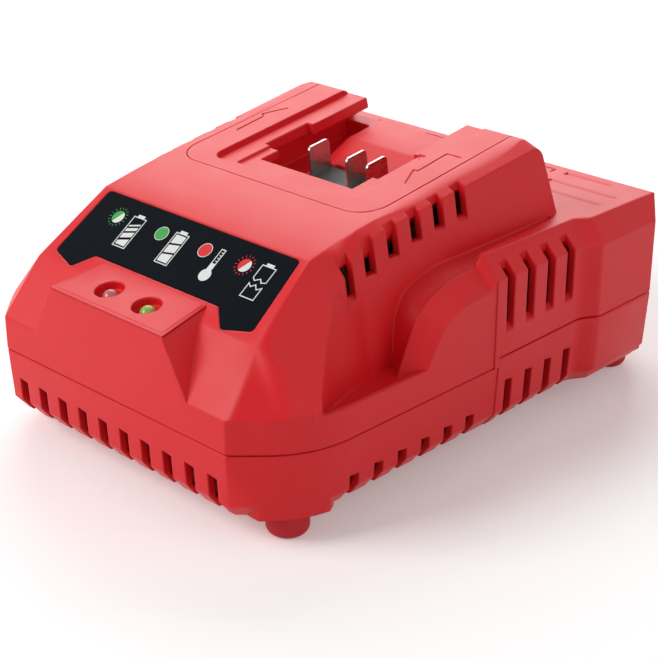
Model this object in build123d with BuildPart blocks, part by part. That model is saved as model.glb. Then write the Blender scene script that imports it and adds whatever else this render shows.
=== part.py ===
from build123d import *
from math import atan, cos, degrees, radians, sin, sqrt, tan
import os

os.makedirs("parts", exist_ok=True)

def behind(distance):
    return distance - case_depth / 2


# A desk-top charger for slide-on power tool batteries. Millimetres.
# +X is the charger's right-hand side, +Y its back, +Z up. The origin is on the table,
# under the middle of the case. Distances "behind" are counted from the front wall.
case_depth = 184.0
case_half_width = 68.5          # at the rear shoulders
flank_half_width = 64.9         # at the sides, ahead of the vent arms
arm_half_width = 65.2           # the vent arms stand a little proud
nose_half_width = 47.0          # the flat of the front wall
wall = 2.5
base_draft = 1.0                # how far the walls draw in by the bevel
seam = 0.5                      # shadow gap between the two housings
base_height = 9.0               # underside of the case above the table
base_bevel = 4.6
parting_front = 29.0            # height of the joint line, front two thirds
parting_rear = 31.7             # and behind the step
step_behind = 90.0              # where the joint line steps up
scoop_floor = 36.5              # floor of the hollow in each flank
lip_height = 38.9
lip_width = 1.7
facet_reach = 66.0

# The battery deck leans up to the back.
deck_front_behind = 61.0
deck_front_height = 76.1
deck_slope = 0.1352
deck_angle = degrees(atan(deck_slope))
deck_length = 66.0
cradle_half_width = 39.4
cradle_gap = 0.25
cradle_corner = 9.0
plate_thickness = 3.0
ledge_length = 60.0
apron_foot = 62.8               # where the cradle's rear apron stands on the housing

# The label lies on the upper front slope.
label_foot_behind = 13.0
label_foot_height = 55.5
label_head_behind = 36.3
label_head_height = 71.5
label_thickness = 0.5

# Crown of the case: distance behind, height, half width, angle of its side facet.
crown_stations = (
    (0.0, 39.4, nose_half_width, 46.0),
    (label_foot_behind, label_foot_height, 45.6, 48.0),
    (label_head_behind, label_head_height, 42.3, 49.0),
    (47.0, 73.9, 42.0, 44.0),
    (54.0, 75.1, 42.1, 33.0),
    (deck_front_behind, deck_front_height, 42.2, 26.0),
    (90.0, 80.0, 42.6, 22.0),
    (132.0, 85.7, 44.2, 24.0),
)
saddle_lean = 10.0              # draft of the saddle's flanks
rear_face = ((125.0, 92.0), (132.0, 58.0))  # distance behind and height on its rear face
rear_deck_height = 62.6         # at the front of the vent arms
rear_facet = 6.3
arm_front_behind = 88.0
brow_length = 1.6               # the step from the fender up to the arm
rear_rim_radius = 3.0           # rounding of the saddle's rear edge

# The rear deck drops away to the back wall.
rear_crest_behind = 168.0
rear_crest_height = 61.2
rear_edge_height = 53.5

# Marks moulded into the rear deck: short grooves (distance behind, outer end) and a bracket.
deck_grooves = ((146.5, 57.5), (155.0, 57.5), (163.8, 49.5))
groove_inner = 32.0
groove_width = 3.4
groove_depth = 0.5
bracket_half_width = 27.5
bracket_behind = 164.3
bracket_hook = 2.8

# Indicator pod on the front slope.
pod_height = 55.6
pod_tilt = 9.4
pod_top_half_width = 23.8
pod_foot_half_width = 33.0
pod_foot_height = 39.0
pod_border = 1.4                # a slightly lower border around its top
pod_border_depth = 0.3
led_offset = 7.9
led_behind = 8.5
led_recess_radius = 4.25
led_recess_depth = 2.6
led_radius = 2.5
led_clearance = 0.1
lamp_shoulder = 8.4             # depth of the collar's foot under the pod
lamp_tip_depth = 0.3

# Arrows engraved beside the battery bay, on the deck's own plane.
mark_width = 0.5
mark_depth = 0.35
arrow_marks = (
    ((34.1, 22.4), (30.3, 30.5), (31.9, 30.5), (31.4, 44.0), (36.6, 44.0)),
    ((-36.2, 23.0), (-36.6, 35.1), (-38.3, 36.4), (-34.4, 44.0)),
)
pointer_mark = ((22.4, 42.0), (24.9, 38.8), (24.9, 42.0))

# Vents: distance behind of the first slot's near edge, pitch and width.
saddle_slot_first = 43.2
saddle_slot_pitch = 9.25
saddle_slot_width = 4.2
saddle_slot_sills = (59.9, 63.5, 66.1, 68.2, 69.5, 70.3)
saddle_slot_inner = 44.6
arm_slot_first = 92.2
arm_slot_pitch = 9.45
arm_slot_width = 3.7
arm_slot_sill = 41.2
arm_slot_inner = 61.1
front_slot_pitch = 9.1
front_slot_width = 3.7
front_slot_top = 20.7
low_slot_first = 29.8
low_slot_pitch = 9.5
low_slot_width = 3.6
low_slot_top = 17.4
tall_slot_first = 93.7
tall_slot_pitch = 9.37
tall_slot_width = 3.4
tall_slot_top = 23.5

# Feet, screws and their pillars.
foot_places = ((50.3, 19.0), (51.5, 165.5))
foot_radius = 6.3
foot_pad_radius = 12.5          # the base is left full around each foot
stem_radius = 2.5
screw_places = ((38.0, 26.0), (38.0, 158.0))
pillar_radius = 4.2
screw_radius = 1.5
head_radius = 3.0
head_seat = 15.0                # height of the shoulder that the screw heads pull on
screw_length = 30.0

# Main circuit board.
board_underside = 14.5
board_thickness = 1.6
board_half_width = 52.0
board_front = 34.0
board_back = 176.0
board_top = board_underside + board_thickness
board_screw_radius = 1.2
lead_radius = 0.9

# Mains inlet: its socket face and the two pins.
inlet_width = 19.0
inlet_rise = 12.5
inlet_height = board_top + inlet_rise / 2
inlet_face = case_depth - 1.4   # distance behind of its socket face
inlet_depth = 18.0
socket_depth = 12.5
pin_pitch = 8.6
pin_radius = 1.2

# Battery bay, counted along the deck (v) and down from it (w).
bay_rim_half_width = 29.0
bay_rim_front = 5.6
bay_rim_corner = 4.0
bay_strip_depth = 1.5
bay_sill_half_width = 21.2      # the strip steps down ahead of the mouth
bay_sill_front = 8.6
bay_sill_depth = 2.3
bay_mouth_half_width = 20.9
bay_mouth_front = 15.0
bay_tongue_edge = -17.6         # left edge of the mouth ahead of its notch
bay_notch_half_width = 23.3
bay_notch_front = 22.7
bay_notch_back = 41.2
bay_rail_thickness = 5.1
bay_side = 27.0
bay_trench_depth = 14.0
bay_trench_back = 61.5
bay_floor_depth = 8.6
bay_floor_front_depth = 13.0
bay_ridge_half_width = 16.2
tub_side = 29.5
tub_depth = 16.5
block_front = 27.2
block_length = 12.6
block_half_width = 14.6
blade_places = (-12.1, 3.6, 11.9)
blade_front = 29.7
blade_length = 8.9
blade_thickness = 0.8
blade_top_depth = 2.9


def both_sides(places):
    """The same places on the right and on the left of the case."""
    return [(side * x, behind(distance)) for x, distance in places for side in (1, -1)]


all_feet = both_sides(foot_places)
all_case_screws = both_sides(screw_places)
all_board_screws = both_sides(((47.0, 40.0), (47.0, 143.0)))


def deck_height(distance):
    return deck_front_height + deck_slope * (distance - deck_front_behind)


def rear_deck_level(distance):
    return rear_deck_height - rear_deck_fall * (distance - arm_front_behind)


def slope_plane(distance, height, slope_angle, x=0.0):
    """Plane whose local X is +X and whose local Y climbs to the back at slope_angle."""
    tilt = radians(slope_angle)
    return Plane(
        origin=(x, behind(distance), height), x_dir=(1, 0, 0), z_dir=(0, -sin(tilt), cos(tilt))
    )


deck_plane = slope_plane(deck_front_behind, deck_front_height, deck_angle)
rear_deck_fall = (rear_deck_height - rear_crest_height) / (rear_crest_behind - arm_front_behind)
label_angle = degrees(
    atan((label_head_height - label_foot_height) / (label_head_behind - label_foot_behind))
)
label_plane = slope_plane(label_foot_behind, label_foot_height, label_angle)


def case_corners(inset=0.0):
    """Corners of the case's right side behind the step, seen from above, front to back."""
    return (
        (arm_half_width - inset, behind(128.0 + inset * 0.5)),
        (case_half_width - inset, behind(133.3 + inset * 0.5)),
        (case_half_width - inset, behind(161.0 - inset * 0.3)),
        (54.0 - inset * 0.6, behind(179.0 - inset * 0.6)),
        (46.0 - inset * 0.3, behind(case_depth - inset)),
        (0, behind(case_depth - inset)),
    )


def footprint(inset=0.0):
    """Outline of the case seen from above."""
    corner = (54.5 - inset, behind(7.2 + inset * 0.4))
    flank = (64.0 - inset, behind(30.1))
    with BuildSketch() as outline:
        with BuildLine():
            nose = Line((0, behind(inset)), (nose_half_width - inset * 0.4, behind(inset)))
            cut = Line(nose @ 1, corner)
            TangentArc(cut @ 1, flank, tangent=cut % 1)
            Polyline(
                flank,
                (flank_half_width - inset, behind(step_behind)),
                (arm_half_width - inset, behind(step_behind)),
                *case_corners(inset),
                nose @ 0,
            )
        make_face()
        mirror(about=Plane.YZ)
    return outline.sketch


def behind_step():
    """Everything behind the step in the joint line, seen from above."""
    with BuildSketch() as area:
        with Locations((0, behind(step_behind))):
            Rectangle(2 * case_half_width + 2, case_depth, align=(Align.CENTER, Align.MIN))
    return area.sketch


def flank_hollow(side, inset=0.0):
    """Line around the hollow outside one flank of the saddle, at the level of its floor."""
    sweep_line = Spline(
        (side * 66.0, behind(19.0)),
        (side * (59.3 - inset), behind(25.0 + inset * 0.3)),
        (side * (55.7 - inset), behind(35.1)),
        (side * (53.2 - inset), behind(46.5)),
        (side * (52.6 - inset), behind(58.0)),
        tangents=((-side, 0.1), (side * 0.03, 1.0)),
    )
    Polyline(
        sweep_line @ 1,
        (side * (57.2 - inset), behind(134.0)),
        (side * 80.0, behind(134.0)),
        (side * 80.0, behind(19.0)),
        sweep_line @ 0,
    )


def saddle_back(inset=0.0):
    """Region behind the leaning rear face of the saddle, in a section along the case."""
    (top_behind, top_z), (foot_behind, foot_z) = rear_face
    return (
        (behind(top_behind - inset), top_z),
        (behind(foot_behind - inset), foot_z),
        (behind(foot_behind - inset), 0.0),
        (behind(150.0), 0.0),
        (behind(150.0), 92.0),
    )


def rear_rim(edge):
    """Picks the upper edges of the saddle's rear face."""
    centre = edge.center()
    return centre.Z > 70.0 and centre.Y > behind(124.0) and abs(edge.tangent_at(0.5).X) > 0.5


def crown(inset=0.0):
    """Front slope, deck and saddle in one body; inset shrinks it for the cavity."""
    with BuildPart() as body:
        for distance, height, half_width, facet in crown_stations:
            top = height - inset
            edge = half_width - inset * 0.5
            outer = top - (facet_reach - edge) * tan(radians(facet))
            right = [(edge, top), (facet_reach, outer), (facet_reach, 0)]
            left = [(-x, z) for x, z in reversed(right)]
            with BuildSketch(Plane.XZ.offset(-behind(distance))):
                with BuildLine():
                    Polyline(*right, *left, close=True)
                make_face()
        loft(ruled=True)
        for side in (1, -1):
            for rise in (-inset, 55.0):
                with BuildSketch(Plane.XY.offset(scoop_floor + rise)):
                    with BuildLine():
                        flank_hollow(side, inset + rise * tan(radians(saddle_lean)))
                    make_face()
            loft(ruled=True, mode=Mode.SUBTRACT)
        with BuildSketch(Plane.YZ):
            with BuildLine():
                Polyline(*saddle_back(inset), close=True)
            make_face()
        extrude(amount=90, both=True, mode=Mode.SUBTRACT)
        if not inset:
            fillet(body.edges().filter_by(rear_rim), rear_rim_radius)
        with BuildSketch(Plane.XY.offset(parting_front)):
            add(footprint(inset))
        extrude(amount=60, mode=Mode.INTERSECT)
    return body.part


def rear_block(inset, front_corners, back_of_saddle):
    """Low block behind the saddle: level top, a long slope to the back, faceted sides."""
    with BuildPart() as body:
        with BuildSketch(Plane.XY.offset(parting_front)):
            with BuildLine():
                Polyline(*front_corners, *case_corners(inset)[1:], *back_of_saddle, close=True)
            make_face()
            mirror(about=Plane.YZ)
        extrude(amount=60)
        with BuildSketch(Plane.YZ):
            with BuildLine():
                Polyline(
                    (behind(80.0), rear_deck_level(80.0) - inset),
                    (behind(rear_crest_behind), rear_crest_height - inset),
                    (behind(case_depth + 1), rear_edge_height - inset),
                    (behind(case_depth + 1), 100), (behind(80.0), 100), close=True,
                )
            make_face()
        extrude(amount=90, both=True, mode=Mode.SUBTRACT)
        side_rim = body.edges().filter_by(
            lambda edge: edge.center().Z > 50.0
            and abs(edge.center().X) > arm_half_width - 0.1 - inset
            and abs(edge.tangent_at(0.5).Z) < 0.5
            and edge.center().Y < behind(163.0)
        )
        chamfer(side_rim, rear_facet)
    return body.part


def rear_deck():
    """Rear block with the two vent arms that run forward beside the saddle."""
    arm_front = behind(arm_front_behind)
    with BuildPart() as body:
        add(rear_block(
            0.0,
            ((57.6, arm_front), (arm_half_width, arm_front), case_corners()[0]),
            ((0, behind(127.0)), (54.0, behind(127.0))),
        ))
    return body.part


def rear_cavity():
    """Room inside the rear block and the vent arms."""
    facet_room = arm_half_width + rear_deck_height - rear_facet - wall * sqrt(2)
    with BuildPart() as body:
        add(rear_block(wall, ((arm_half_width - wall, behind(130.0)),), ((0, behind(130.0)),)))
        with BuildSketch(Plane.XZ.offset(-behind(arm_slot_first - 0.2))):
            with BuildLine():
                for side in (1, -1):
                    Polyline(
                        (side * 60.4, 31), (side * (arm_half_width - wall), 31),
                        (side * (arm_half_width - wall), facet_room - arm_half_width + wall),
                        (side * 60.4, facet_room - 60.4), close=True,
                    )
            make_face()
        extrude(amount=-40)
    return body.part


def fender(side):
    """Ramp from the scoop floor up to the vent arm, with the gutter along the saddle."""
    gutter_inner = ((58.2, 36.5), (62.4, 52.5), (65.2, 56.0), (70.5, 58.4), (77.0, 60.3), (83.4, 61.1))
    gutter_outer = ((58.2, 36.5), (62.0, 50.5), (65.5, 53.6), (70.5, 55.4), (77.0, 56.8), (83.4, 57.4))
    inner_edge = ((53.4, 36.5), (58.3, 46.8), (62.6, 53.2), (68.5, 57.0), (76.0, 59.1), (88.0, 59.8))
    outer_edge = ((58.8, 36.5), (63.8, 44.8), (66.8, 49.0), (70.6, 51.2), (76.9, 52.9), (88.0, 53.8))
    facet_top = arm_half_width + rear_deck_height - rear_facet
    with BuildPart() as body:
        for offset_x, edge in ((46.0, gutter_inner), (59.0, gutter_outer)):
            with BuildSketch(Plane.YZ.offset(side * offset_x)):
                with BuildLine():
                    bed = Spline(*((behind(y), z) for y, z in edge),
                                 tangents=((0.2, 1.0), (1.0, 0.06)))
                    Polyline(bed @ 1, (behind(129.0), 61.6), (behind(129.0), 30),
                             (behind(58.2), 30), bed @ 0)
                make_face()
        loft(ruled=True)
        for offset_x, edge in ((58.0, inner_edge), (arm_half_width, outer_edge)):
            with BuildSketch(Plane.YZ.offset(side * offset_x)):
                with BuildLine():
                    brow = Spline(*((behind(y), z) for y, z in edge),
                                  tangents=((0.42, 1.0), (1.0, 0.03)))
                    Polyline(brow @ 1, (behind(88.0), 30), (behind(edge[0][0]), 30), brow @ 0)
                make_face()
        loft(ruled=True)
        for distance, shoulder, corner_x, rim in (
            (arm_front_behind - brow_length, 59.6, 58.1, 53.7),
            (arm_front_behind, rear_deck_height, facet_top - rear_deck_height,
             facet_top - arm_half_width),
        ):
            with BuildSketch(Plane.XZ.offset(-behind(distance))):
                with BuildLine():
                    Polyline((side * 57.6, 30), (side * 57.6, shoulder), (side * corner_x, shoulder),
                             (side * arm_half_width, rim), (side * arm_half_width, 30), close=True)
                make_face()
        loft(ruled=True)
        with BuildSketch(Plane.XY.offset(parting_front)):
            add(footprint())
        extrude(amount=40, mode=Mode.INTERSECT)
    return body.part


def pod(inset=0.0):
    """Indicator pod: a wedge with flared cheeks that grows out of the front slope."""
    flare = (pod_foot_half_width - pod_top_half_width) / (pod_height - pod_foot_height)
    tip = 64.0
    with BuildPart() as body:
        with BuildSketch(Plane.XZ.offset(-behind(inset))):
            with BuildLine():
                foot = pod_foot_half_width - inset
                head = pod_top_half_width - flare * (tip - pod_height) - inset
                Polyline((-foot, pod_foot_height - 9), (foot, pod_foot_height - 9),
                         (foot, pod_foot_height), (head, tip), (-head, tip),
                         (-foot, pod_foot_height), close=True)
            make_face()
        extrude(amount=-20.0)
        with BuildSketch(Plane.YZ):
            with BuildLine():
                rise = 30.0 * tan(radians(pod_tilt))
                Polyline((behind(-1), pod_height - inset), (behind(29), pod_height + rise - inset),
                         (behind(29), 90), (behind(-1), 90), close=True)
            make_face()
        extrude(amount=60, both=True, mode=Mode.SUBTRACT)
        if not inset:
            with BuildSketch(slope_plane(0.0, pod_height, pod_tilt)):
                with BuildLine():
                    Polyline((-24, 24), (-30, 24), (-30, -3), (30, -3), (30, 24), (20.2, 24),
                             (pod_top_half_width - 1.1 * pod_border, pod_border),
                             (1.1 * pod_border - pod_top_half_width, pod_border),
                             (-20.2, 24), close=True)
                make_face()
            extrude(amount=-pod_border_depth, mode=Mode.SUBTRACT)
    return body.part


def rounded_off():
    """What the rounding of the rear rim takes off, in a section along the case."""
    (top_behind, top_z), (foot_behind, foot_z) = rear_face
    lean = (foot_behind - top_behind) / (top_z - foot_z)
    level = deck_height(top_behind)
    across = (top_z - level) * lean / (1 + deck_slope * lean)
    corner = Vector(behind(top_behind) + across, level + deck_slope * across)
    ahead = corner - Vector(1, deck_slope).normalized() * rear_rim_radius
    below = corner - Vector(-lean, 1).normalized() * rear_rim_radius
    with BuildSketch() as section:
        with BuildLine():
            FilletPolyline(ahead, corner, below, radius=rear_rim_radius)
            Polyline(below, (behind(134.0), below.Y), (behind(134.0), 95.0), (ahead.X, 95.0), ahead)
        make_face()
    return section.sketch


def ridge_profile():
    """Floor between the two trenches of the bay, in a section along the case."""
    along = ((bay_mouth_front, bay_trench_depth), (bay_mouth_front, bay_floor_front_depth),
             (38.0, bay_floor_front_depth), (52.0, bay_floor_depth), (80.0, bay_floor_depth),
             (80.0, bay_trench_depth))
    with BuildSketch() as profile:
        with BuildLine():
            corners = [deck_plane.from_local_coords((0, v, -w)) for v, w in along]
            Polyline(*((corner.Y, corner.Z) for corner in corners), close=True)
        make_face()
    return profile.sketch


def led_plane(x):
    height = pod_height + (led_behind + 1.0) * tan(radians(pod_tilt))
    return slope_plane(led_behind, height, pod_tilt, x)


led_planes = [led_plane(x) for x in (-led_offset, led_offset)]


def label_outline(margin=0.0):
    """Label outline on its own plane; margin grows it into its seat."""
    side = ((31.6, 0.7), (41.3, 3.6), (39.5, 27.5))
    with BuildSketch() as outline:
        with BuildLine():
            Polyline(*side, *((-x, y) for x, y in reversed(side)), (-25.8, 6.6), (25.8, 6.6),
                     close=True)
        make_face()
        fillet(outline.vertices(), 1.6)
        if margin:
            offset(amount=margin)
    return outline.sketch


def slot_row(first, pitch, count):
    """Near edges of a row of slots."""
    return [first + pitch * index for index in range(count)]


# Upper housing: front slope, saddle, vent arms and rear deck in one moulding.
with BuildPart() as upper_housing:
    with BuildSketch(Plane.XY.offset(parting_front)):
        add(footprint())
    extrude(amount=scoop_floor - parting_front)
    with BuildSketch(Plane.XY.offset(scoop_floor)):
        add(footprint())
        add(footprint(lip_width), mode=Mode.SUBTRACT)
        with Locations((0, behind(40))):
            Rectangle(150, 46, mode=Mode.INTERSECT)
    extrude(amount=lip_height - scoop_floor)
    add(crown())
    add(rear_deck())
    for side in (1, -1):
        add(fender(side))
    add(pod())

    # hollow inside
    with BuildSketch(Plane.XY.offset(parting_front)):
        add(footprint(wall))
    extrude(amount=scoop_floor - wall - parting_front, mode=Mode.SUBTRACT)
    add(crown(wall), mode=Mode.SUBTRACT)
    add(rear_cavity(), mode=Mode.SUBTRACT)
    add(pod(wall), mode=Mode.SUBTRACT)
    with BuildSketch(Plane.YZ):
        with BuildLine():
            Polyline((behind(66), 30), (behind(66), 35), (behind(73), 49.5), (behind(84), 53),
                     (behind(136), 52.6), (behind(136), 30), close=True)
        make_face()
    extrude(amount=62.2, both=True, mode=Mode.SUBTRACT)

    # the rear part of the joint line is higher
    with BuildSketch(Plane.XY.offset(parting_front - 1)):
        add(behind_step())
    extrude(amount=parting_rear - parting_front + 1, mode=Mode.SUBTRACT)

    # collars and recesses for the indicator lamps
    with Locations(*led_planes):
        Cylinder(led_recess_radius + 1.6, lamp_shoulder, align=(Align.CENTER, Align.CENTER, Align.MAX))
    with Locations(*led_planes):
        CounterBoreHole(led_radius + led_clearance, led_recess_radius, led_recess_depth, depth=12)

    # screw pillars
    for x, distance in screw_places:
        for side in (1, -1):
            joint = parting_front if distance < step_behind else parting_rear
            with BuildSketch(Plane.XY.offset(joint)):
                with Locations((side * x, behind(distance))):
                    Circle(pillar_radius)
            extrude(until=Until.NEXT)
            with Locations(Plane(origin=(side * x, behind(distance), joint), z_dir=(0, 0, -1))):
                Hole(screw_radius + 0.05, depth=20)

    # vents
    for side in (1, -1):
        for near, sill in zip(slot_row(saddle_slot_first, saddle_slot_pitch, 6), saddle_slot_sills):
            with BuildSketch(Plane.XZ.offset(-behind(near))):
                with BuildLine():
                    inner = side * saddle_slot_inner
                    Polyline((inner, 92), (inner, sill), (inner + side * 2.8, sill),
                             (inner + side * 11, sill - 7), (inner + side * 11, 92), close=True)
                make_face()
            extrude(amount=-saddle_slot_width, mode=Mode.SUBTRACT)
        for near in slot_row(arm_slot_first, arm_slot_pitch, 4):
            with BuildSketch(Plane.XZ.offset(-behind(near))):
                with BuildLine():
                    inner = side * arm_slot_inner
                    Polyline((inner, 70), (inner, arm_slot_sill),
                             (inner + side * 2.0, arm_slot_sill),
                             (inner + side * 9, arm_slot_sill - 5.6),
                             (inner + side * 9, 70), close=True)
                make_face()
            extrude(amount=-arm_slot_width, mode=Mode.SUBTRACT)

    # opening for the cradle, through the saddle's rear face, with a ledge around it
    opening = cradle_half_width + cradle_gap
    with BuildSketch(Plane.XY.offset(apron_foot)):
        with Locations((0, behind(deck_front_behind))):
            Rectangle(2 * opening, 90, align=(Align.CENTER, Align.MIN))
        fillet(vertices().group_by(Axis.Y)[0], cradle_corner)
    extrude(amount=40, mode=Mode.SUBTRACT)
    for depth, inner_edge, rise in ((plate_thickness + 2.5, opening - 2.2, 2.5),
                                    (plate_thickness, opening, 2.0)):
        with BuildSketch(deck_plane.offset(-depth)):
            with Locations((0, opening - cradle_half_width - 2.4)):
                Rectangle(2 * opening + 4.8, ledge_length + 2.4, align=(Align.CENTER, Align.MIN))
            fillet(vertices().group_by(Axis.Y)[0], cradle_corner)
            with BuildSketch(mode=Mode.SUBTRACT):
                with Locations((0, opening - inner_edge)):
                    Rectangle(2 * inner_edge, ledge_length + 2, align=(Align.CENTER, Align.MIN))
                fillet(vertices().group_by(Axis.Y)[0], cradle_corner - 1)
        extrude(amount=rise)

    # shallow seat for the label
    with BuildSketch(label_plane):
        add(label_outline(0.15))
    extrude(amount=-label_thickness, mode=Mode.SUBTRACT)

    # grooves and the bracket on the rear deck
    for distance, outer_end in deck_grooves:
        level = rear_deck_level(distance)
        for side in (1, -1):
            with BuildSketch(Plane.YZ.offset(side * groove_inner)):
                with BuildLine():
                    Polyline((behind(distance - groove_width / 2), level + 0.05),
                             (behind(distance), level - groove_depth),
                             (behind(distance + groove_width / 2), level + 0.05), close=True)
                make_face()
            extrude(amount=side * (outer_end - groove_inner), mode=Mode.SUBTRACT)
    fall_angle = -degrees(atan(rear_deck_fall))
    bracket_level = rear_deck_level(bracket_behind)
    with BuildSketch(slope_plane(bracket_behind, bracket_level - mark_depth, fall_angle)):
        with BuildLine():
            Polyline((-bracket_half_width, -bracket_hook), (-bracket_half_width, 0),
                     (bracket_half_width, 0), (bracket_half_width, -bracket_hook))
        trace(line_width=mark_width)
    extrude(amount=1.0, mode=Mode.SUBTRACT)

    # shadow gap along the joint
    for joint in (parting_front, parting_rear):
        with BuildSketch(Plane.XY.offset(joint)):
            add(footprint())
            add(footprint(1.2), mode=Mode.SUBTRACT)
            if joint == parting_rear:
                add(behind_step(), mode=Mode.INTERSECT)
        extrude(amount=seam, mode=Mode.SUBTRACT)
upper_housing.part.label = "upper_housing"


# Lower housing: a drafted tray with a bevelled bottom edge.
with BuildPart() as lower_housing:
    for low, high in (((base_height, base_bevel), (base_height + base_bevel, base_draft)),
                      ((base_height + base_bevel, base_draft), (parting_rear, 0.0))):
        for height, inset in (low, high):
            with BuildSketch(Plane.XY.offset(height)):
                add(footprint(inset))
        loft(ruled=True)
    for low, high in (((base_height + wall, base_bevel + 1.0),
                       (base_height + base_bevel, base_draft + wall)),
                      ((base_height + base_bevel, base_draft + wall), (parting_rear, wall))):
        for height, inset in (low, high):
            with BuildSketch(Plane.XY.offset(height)):
                add(footprint(inset))
        loft(ruled=True, mode=Mode.SUBTRACT)
    with BuildSketch(Plane.XY.offset(parting_front)):
        add(footprint())
        add(behind_step(), mode=Mode.SUBTRACT)
    extrude(amount=5, mode=Mode.SUBTRACT)

    # the base stays full around the feet
    with BuildSketch(Plane.XY.offset(base_height)):
        with Locations(*all_feet):
            Circle(foot_pad_radius)
        add(footprint(base_draft + 0.2), mode=Mode.INTERSECT)
    extrude(amount=base_bevel)

    # pillars for the case screws and the board screws, and sockets for the feet
    for x, distance in screw_places:
        for side in (1, -1):
            joint = parting_front if distance < step_behind else parting_rear
            with BuildSketch(Plane.XY.offset(base_height + 1)):
                with Locations((side * x, behind(distance))):
                    Circle(pillar_radius)
            extrude(amount=joint - base_height - 1)
            with Locations(Plane(origin=(side * x, behind(distance), base_height),
                                 z_dir=(0, 0, -1))):
                CounterBoreHole(screw_radius + 0.1, head_radius + 0.25, head_seat - base_height,
                                depth=joint - base_height)
    with BuildSketch(Plane.XY.offset(base_height + 1)):
        with Locations(*all_board_screws):
            Circle(3.2)
    extrude(amount=board_underside - base_height - 1)
    with BuildSketch(Plane.XY.offset(board_underside)):
        with Locations(*all_board_screws):
            Circle(board_screw_radius + 0.05)
    extrude(amount=-4.7, mode=Mode.SUBTRACT)
    with BuildSketch(Plane.XY.offset(base_height)):
        with Locations(*all_feet):
            Circle(foot_radius)
    extrude(amount=wall + 1.5)
    with BuildSketch(Plane.XY.offset(base_height)):
        with Locations(*all_feet):
            Circle(stem_radius + 0.05)
    extrude(amount=wall + 4, mode=Mode.SUBTRACT)

    # vents
    for index in range(10):
        x = (index - 4.5) * front_slot_pitch
        with BuildSketch(Plane.XY):
            with Locations((x, behind(-1))):
                Rectangle(front_slot_width, 6.4, align=(Align.CENTER, Align.MIN))
        extrude(amount=front_slot_top, mode=Mode.SUBTRACT)
    for first, pitch, count, width, top in (
        (low_slot_first, low_slot_pitch, 6, low_slot_width, low_slot_top),
        (tall_slot_first, tall_slot_pitch, 4, tall_slot_width, tall_slot_top),
    ):
        for near in slot_row(first, pitch, count):
            with BuildSketch(Plane.XY):
                for side in (1, -1):
                    with Locations((side * flank_half_width, behind(near))):
                        Rectangle(13.0, width, align=(Align.CENTER, Align.MIN))
            extrude(amount=top, mode=Mode.SUBTRACT)

    # cut-out in the back wall for the mains inlet
    with BuildSketch(Plane.XZ.offset(-behind(case_depth + 1))):
        with Locations((0, inlet_height)):
            RectangleRounded(inlet_width + 0.2, inlet_rise + 0.2, 2.0)
    extrude(amount=8, mode=Mode.SUBTRACT)
lower_housing.part.label = "lower_housing"


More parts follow.
